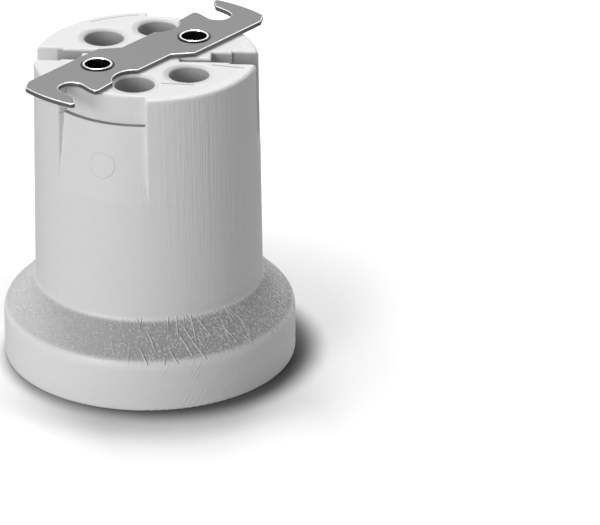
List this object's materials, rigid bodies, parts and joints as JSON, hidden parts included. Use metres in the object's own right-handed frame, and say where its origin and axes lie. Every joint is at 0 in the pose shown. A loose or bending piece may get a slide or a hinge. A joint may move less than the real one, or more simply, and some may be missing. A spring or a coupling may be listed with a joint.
{
  "type": "lamp holder",
  "caption": "White ceramic lamp holder with a large screw shell, wide mouth flange, wire slots and a flat steel fixing bracket with side-open hooks across its rear end.",
  "frame": {"origin": "centre of the mouth rim, on the holder's axis", "axes": "+Z along the axis from the mouth to the rear end with the bracket; the wire slots lie near the X axis"},
  "size_m": [0.069, 0.069, 0.0766],
  "materials": {
    "white_ceramic": "satin, fine drawn marks",
    "bracket_steel": "plain flat sheet, zinc grey",
    "rivet_nickel": "bright nickel",
    "nickel_sheet": "bright nickel plate",
    "brass_parts": "turned",
    "screw_steel": "zinc plated"
  },
  "bodies": {
    "holder": {"ceramic_body": "white_ceramic", "fixing_bracket": "bracket_steel", "bracket_rivet_right": "rivet_nickel", "rivet_washer_right": "bracket_steel", "shell_pin_right": "brass_parts", "bracket_rivet_left": "rivet_nickel", "rivet_washer_left": "bracket_steel", "shell_pin_left": "brass_parts", "terminal_block_middle": "brass_parts", "fixing_screw_middle": "screw_steel", "terminal_block_shell": "brass_parts", "fixing_screw_shell": "screw_steel", "contact_strip": "nickel_sheet", "contact_spring": "screw_steel", "screw_shell": "nickel_sheet"},
    "middle_contact": {"contact_stem": "brass_parts", "contact_button": "nickel_sheet"},
    "clamp_middle": {"clamp_plate_middle": "screw_steel"},
    "screw_middle": {"terminal_screw_middle": "screw_steel"},
    "clamp_shell": {"clamp_plate_shell": "screw_steel"},
    "screw_shell_side": {"terminal_screw_shell": "screw_steel"}
  },
  "joints": [
    {"name": "middle_contact_press", "type": "slide", "parent": "holder", "child": "middle_contact", "axis": [0, 0, 1], "range_m": [0, 0.003], "stiffness_N_per_m": 1500, "deforming": ["contact_spring"]},
    {"name": "clamp_middle_lift", "type": "slide", "parent": "holder", "child": "clamp_middle", "axis": [0, 0, 1], "range_m": [0, 0.0024]},
    {"name": "screw_middle_turn", "type": "hinge", "parent": "clamp_middle", "child": "screw_middle", "pos_m": [-0.01014, 0.0105, 0.061], "axis": [0, 0, 1], "range_deg": [0, 1080]},
    {"name": "clamp_shell_lift", "type": "slide", "parent": "holder", "child": "clamp_shell", "axis": [0, 0, 1], "range_m": [0, 0.0024]},
    {"name": "screw_shell_turn", "type": "hinge", "parent": "clamp_shell", "child": "screw_shell_side", "pos_m": [0.01014, -0.0105, 0.061], "axis": [0, 0, 1], "range_deg": [0, 1080]}
  ],
  "couplings": [
    {"joint": "screw_middle_turn", "follows": "clamp_middle_lift", "rad_per_m": 7854},
    {"joint": "screw_shell_turn", "follows": "clamp_shell_lift", "rad_per_m": 7854}
  ]
}
